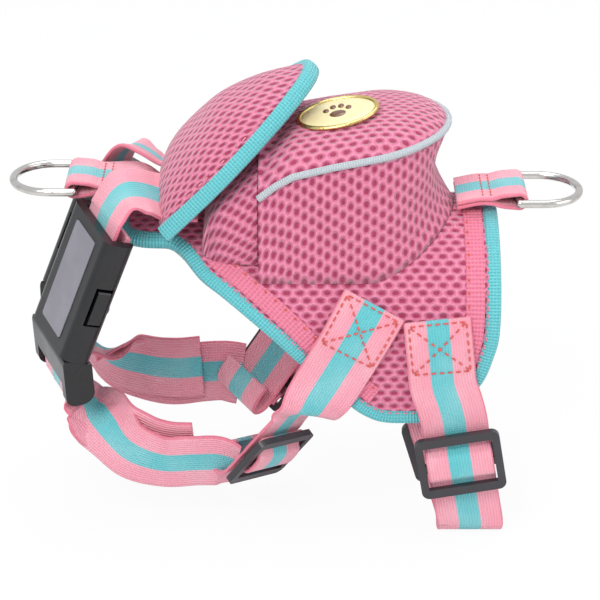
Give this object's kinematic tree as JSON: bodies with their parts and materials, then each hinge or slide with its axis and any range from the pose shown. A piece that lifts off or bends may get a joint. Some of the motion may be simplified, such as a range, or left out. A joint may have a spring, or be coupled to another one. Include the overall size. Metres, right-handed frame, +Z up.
{
  "type": "no pull dog harness",
  "caption": "Mesh saddle harness for a small dog with a soft back bag, two leash rings, side-release buckles and adjustable webbing straps.",
  "frame": {"origin": "on the dog's back: top centre of the saddle's underside, above the middle of its length", "axes": "+X to the tail, +Y to the far side, +Z up; the mirror plane of saddle and bag is y = 0"},
  "size_m": [0.2153, 0.1036, 0.1735],
  "materials": {
    "air_mesh": "knitted sandwich mesh",
    "lining": "fine tricot",
    "binding": "ribbed binding tape",
    "webbing": "ribbed elastic webbing with a turquoise stripe",
    "piping": "retroreflective piping",
    "plastic": "moulded acetal, fine grain",
    "plate": "satin grey insert",
    "ring_metal": "nickel plated wire",
    "emblem": "cream enamel",
    "emblem_rim": "pale gold rim"
  },
  "bodies": {
    "harness": {"bag_base_flange": "air_mesh", "bag_front_wall": "air_mesh", "bag_piping": "piping", "bag_side_wall": "air_mesh", "bag_top_panel": "air_mesh", "emblem_plate": "emblem", "emblem_rim": "emblem_rim", "far_buckle_plate": "plate", "far_buckle_socket": "plastic", "far_chest_return": "webbing", "far_chest_strap": "webbing", "far_neck_strap": "webbing", "far_shoulder_strap": "webbing", "flap_root": "air_mesh", "front_ring_tab": "webbing", "girth_strap": "webbing", "near_buckle_plate": "plate", "near_buckle_socket": "plastic", "near_chest_return": "webbing", "near_chest_strap": "webbing", "near_neck_strap": "webbing", "near_shoulder_strap": "webbing", "rear_ring_tab": "webbing", "saddle_binding": "binding", "saddle_lining": "lining", "saddle_mesh": "air_mesh"},
    "front_ring": {"front_d_ring": "ring_metal"},
    "rear_ring": {"rear_d_ring": "ring_metal"},
    "flap": {"flap_shell": "air_mesh"},
    "near_plug": {"near_buckle_plug": "plastic", "near_plug_loop": "webbing"},
    "near_outer_prong": {"near_outer_prong": "plastic"},
    "near_inner_prong": {"near_inner_prong": "plastic"},
    "near_front_slider": {"near_front_slider": "plastic", "near_front_end_loop": "webbing"},
    "near_girth_slider": {"near_girth_slider": "plastic", "near_girth_end_loop": "webbing"},
    "far_plug": {"far_buckle_plug": "plastic", "far_plug_loop": "webbing"},
    "far_outer_prong": {"far_outer_prong": "plastic"},
    "far_inner_prong": {"far_inner_prong": "plastic"},
    "far_front_slider": {"far_front_slider": "plastic", "far_front_end_loop": "webbing"},
    "far_girth_slider": {"far_girth_slider": "plastic", "far_girth_end_loop": "webbing"}
  },
  "joints": [
    {"name": "front_ring_swing", "type": "hinge", "parent": "harness", "child": "front_ring", "pos_m": [-0.084, 0, 0.013], "axis": [0, 1, 0], "range_deg": [0, 120]},
    {"name": "rear_ring_swing", "type": "hinge", "parent": "harness", "child": "rear_ring", "pos_m": [0.0815, 0, 0.0083], "axis": [0, -1, 0], "range_deg": [0, 120]},
    {"name": "flap_open", "type": "hinge", "parent": "harness", "child": "flap", "pos_m": [-0.0522, 0, 0.0168], "axis": [0, -1, 0], "range_deg": [0, 70]},
    {"name": "near_buckle_release", "type": "slide", "parent": "harness", "child": "near_plug", "axis": [-0.36, 0, -0.933], "range_m": [0, 0.03], "deforming": ["near_chest_strap", "near_chest_return", "near_outer_prong", "near_inner_prong"]},
    {"name": "near_outer_prong_press", "type": "hinge", "parent": "near_plug", "child": "near_outer_prong", "pos_m": [-0.08263, -0.03712, -0.03657], "axis": [-0.8313, -0.454, 0.3208], "range_deg": [0, 4], "stiffness_Nm_per_rad": 0.02},
    {"name": "near_inner_prong_press", "type": "hinge", "parent": "near_plug", "child": "near_inner_prong", "pos_m": [-0.09178, -0.01788, -0.03304], "axis": [0.8313, 0.454, -0.3208], "range_deg": [0, 4], "stiffness_Nm_per_rad": 0.02},
    {"name": "near_front_slider_slide", "type": "slide", "parent": "harness", "child": "near_front_slider", "axis": [0.5684, -0.1997, 0.7981], "range_m": [0, 0.007]},
    {"name": "near_girth_slider_slide", "type": "slide", "parent": "harness", "child": "near_girth_slider", "axis": [0.171, 0, -0.9853], "range_m": [0, 0.012]},
    {"name": "far_buckle_release", "type": "slide", "parent": "harness", "child": "far_plug", "axis": [-0.36, 0, -0.933], "range_m": [0, 0.03], "deforming": ["far_chest_strap", "far_chest_return", "far_outer_prong", "far_inner_prong"]},
    {"name": "far_outer_prong_press", "type": "hinge", "parent": "far_plug", "child": "far_outer_prong", "pos_m": [-0.09178, 0.01788, -0.03304], "axis": [-0.8313, 0.454, 0.3208], "range_deg": [0, 4], "stiffness_Nm_per_rad": 0.02},
    {"name": "far_inner_prong_press", "type": "hinge", "parent": "far_plug", "child": "far_inner_prong", "pos_m": [-0.08263, 0.03712, -0.03657], "axis": [0.8313, -0.454, -0.3208], "range_deg": [0, 4], "stiffness_Nm_per_rad": 0.02},
    {"name": "far_front_slider_slide", "type": "slide", "parent": "harness", "child": "far_front_slider", "axis": [0.5684, 0.1997, 0.7981], "range_m": [0, 0.007]},
    {"name": "far_girth_slider_slide", "type": "slide", "parent": "harness", "child": "far_girth_slider", "axis": [0.2907, -0.06, -0.9549], "range_m": [0, 0.008]}
  ]
}
